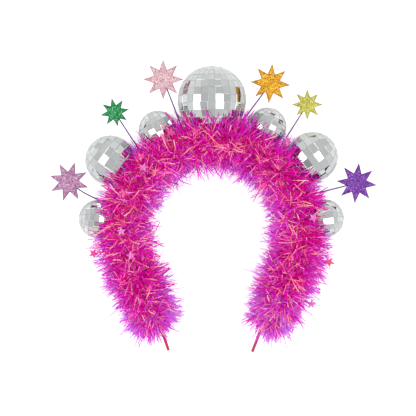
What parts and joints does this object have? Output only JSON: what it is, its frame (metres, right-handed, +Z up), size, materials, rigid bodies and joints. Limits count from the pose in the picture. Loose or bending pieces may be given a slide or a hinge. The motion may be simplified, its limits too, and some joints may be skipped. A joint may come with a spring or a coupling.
{
  "type": "disco ball headband",
  "caption": "Party headband: an arched band in a magenta tinsel garland, with mirror balls along the crown and glitter stars on wires between them.",
  "frame": {"origin": "on the floor, under the middle of the whole headband as it lies on its back", "axes": "+Y from the open end towards the crown of the arch, +X across it to the right in the picture, +Z up out of its face"},
  "size_m": [0.2534, 0.2278, 0.0532],
  "materials": {
    "band_satin": "satin ribbon wound on the band",
    "tinsel_film": "thin metallic film cut in fine strands, magenta with violet tips",
    "mirror_tiles": "small square mirror tiles with narrow joints",
    "post_white": "plain moulded plastic",
    "wire_violet": "coloured craft wire",
    "glitter_mauve": "foam covered in coarse glitter",
    "glitter_green": "foam covered in coarse glitter",
    "glitter_pink": "foam covered in coarse glitter",
    "glitter_orange": "foam covered in coarse glitter",
    "glitter_lime": "foam covered in coarse glitter",
    "glitter_violet": "foam covered in coarse glitter",
    "foil_pink": "metallic foil"
  },
  "bodies": {
    "root": {"band": "band_satin", "tinsel": "tinsel_film", "ball_top": "mirror_tiles", "ball_upper_left": "mirror_tiles", "ball_upper_right": "mirror_tiles", "ball_left": "mirror_tiles", "ball_right": "mirror_tiles", "ball_lower_left": "mirror_tiles", "ball_lower_right": "mirror_tiles", "post_top": "post_white", "post_upper_left": "post_white", "post_upper_right": "post_white", "post_left": "post_white", "post_right": "post_white", "post_lower_left": "post_white", "post_lower_right": "post_white", "wire_mauve": "wire_violet", "wire_green": "wire_violet", "wire_pink": "wire_violet", "wire_orange": "wire_violet", "wire_lime": "wire_violet", "wire_violet": "wire_violet", "star_mauve": "glitter_mauve", "star_green": "glitter_green", "star_pink": "glitter_pink", "star_orange": "glitter_orange", "star_lime": "glitter_lime", "star_violet": "glitter_violet", "foil_01": "foil_pink", "foil_02": "foil_pink", "foil_03": "foil_pink", "foil_04": "foil_pink", "foil_05": "foil_pink", "foil_06": "foil_pink", "foil_07": "foil_pink", "foil_08": "foil_pink", "foil_09": "foil_pink", "foil_10": "foil_pink", "foil_11": "foil_pink", "foil_12": "foil_pink"}
  },
  "joints": []
}
